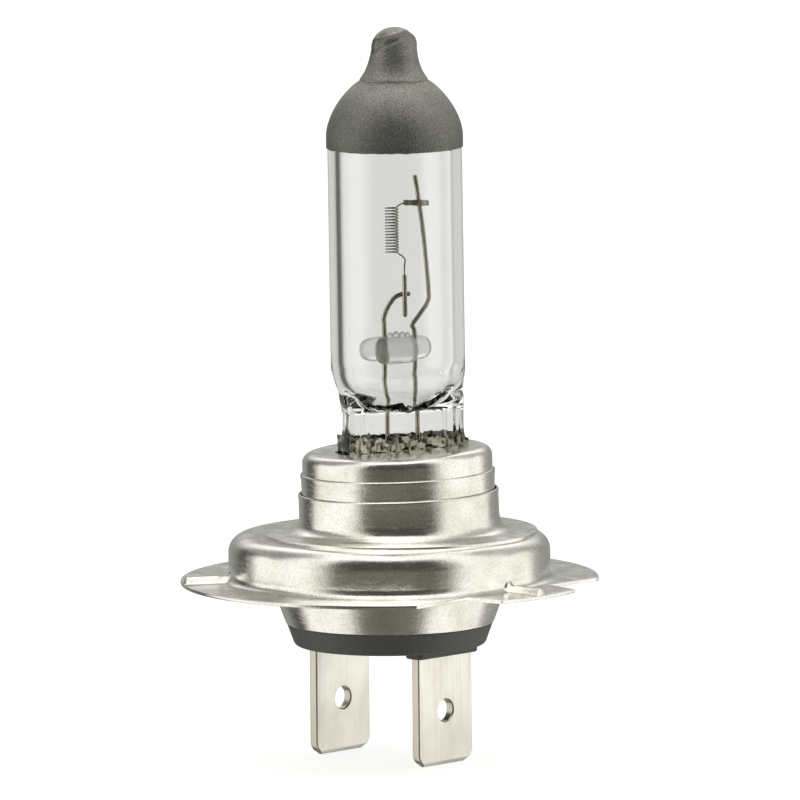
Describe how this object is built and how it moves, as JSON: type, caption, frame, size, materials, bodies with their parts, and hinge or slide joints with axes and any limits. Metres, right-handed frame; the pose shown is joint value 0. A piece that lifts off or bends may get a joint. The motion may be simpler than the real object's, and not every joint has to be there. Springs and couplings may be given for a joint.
{
  "type": "headlight bulb",
  "caption": "Halogen headlight bulb: clear quartz burner with a dark glare cap on its tip, stepped metal collar, flanged prefocus ring, dark insulator and two flat blade terminals.",
  "frame": {"origin": "on the locating drum's axis, level with the crests of the three reference ribs, 0.55 mm above the flange's top face", "axes": "+Z runs towards the bulb's tip, the blades' faces look along X, and the flange's keyed lug points along +X"},
  "size_m": [0.0338, 0.0338, 0.0597],
  "materials": {
    "ring_steel": "satin drawn stainless sheet",
    "collar_steel": "satin drawn stainless sheet with weld tint",
    "shell_steel": "satin drawn stainless sheet",
    "clip_steel": "bright spring steel",
    "tab_metal": "tinned sheet with fine scratches",
    "quartz": "clear quartz",
    "bridge_quartz": "clear quartz with a frosted core",
    "glare_coating": "fine grained graphite coating",
    "tungsten": "drawn tungsten",
    "molybdenum": "drawn molybdenum",
    "foil_metal": "etched molybdenum foil",
    "insulator_plastic": "matt dark grey moulding"
  },
  "bodies": {
    "root": {"prefocus_ring": "ring_steel", "focus_washer": "collar_steel", "adjusting_ring": "collar_steel", "collar_cup": "collar_steel", "pinch_clip": "clip_steel", "quartz_envelope": "quartz", "tip_coating": "glare_coating", "filament": "tungsten", "upper_leg_clamp": "molybdenum", "lower_leg_sleeve": "molybdenum", "long_support_wire": "molybdenum", "short_support_wire": "molybdenum", "quartz_bridge": "bridge_quartz", "seal_foil_long": "foil_metal", "seal_foil_short": "foil_metal", "outer_lead_long": "molybdenum", "outer_lead_short": "molybdenum", "base_shell": "shell_steel", "insulator": "insulator_plastic", "terminal_long": "tab_metal", "terminal_short": "tab_metal"}
  },
  "joints": []
}
